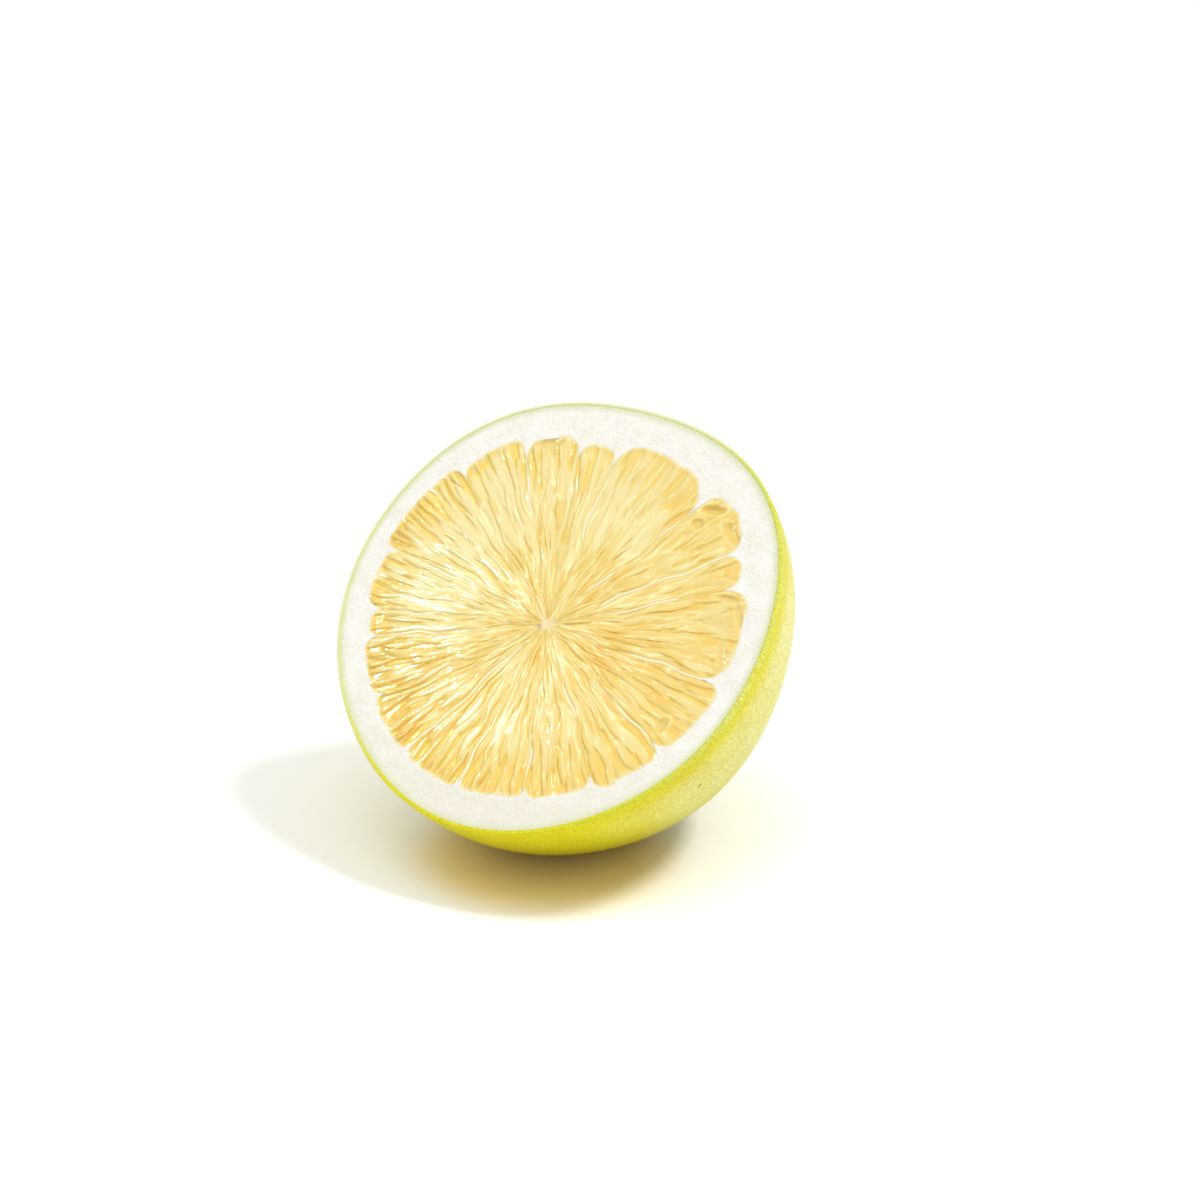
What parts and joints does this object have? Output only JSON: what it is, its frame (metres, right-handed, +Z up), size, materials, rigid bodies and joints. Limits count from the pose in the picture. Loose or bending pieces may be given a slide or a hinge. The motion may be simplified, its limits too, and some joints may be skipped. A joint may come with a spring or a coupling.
{
  "type": "pomelo half",
  "caption": "Half a pomelo, cut across the middle and lying on its rounded side: yellow-green rind, thick white pith, pale yellow flesh in segments with relief of juice sacs, dry stem button.",
  "frame": {"origin": "the middle of the flat spot that the half rests on", "axes": "+Z up. The cut face looks towards -Y and up, its normal 44 degrees over level. +X is to the right of a viewer who looks along +Y at the cut face"},
  "size_m": [0.1489, 0.1346, 0.1331],
  "materials": {
    "rind": "satin",
    "pith": "matte",
    "flesh": "gloss",
    "stem": "matte"
  },
  "bodies": {
    "root": {"rind": "rind", "pith": "pith", "segment_01": "flesh", "segment_02": "flesh", "segment_03": "flesh", "segment_04": "flesh", "segment_05": "flesh", "segment_06": "flesh", "segment_07": "flesh", "segment_08": "flesh", "segment_09": "flesh", "segment_10": "flesh", "segment_11": "flesh", "segment_12": "flesh", "segment_13": "flesh", "segment_14": "flesh", "segment_15": "flesh", "segment_16": "flesh", "segment_17": "flesh", "stem_button": "stem"}
  },
  "joints": []
}
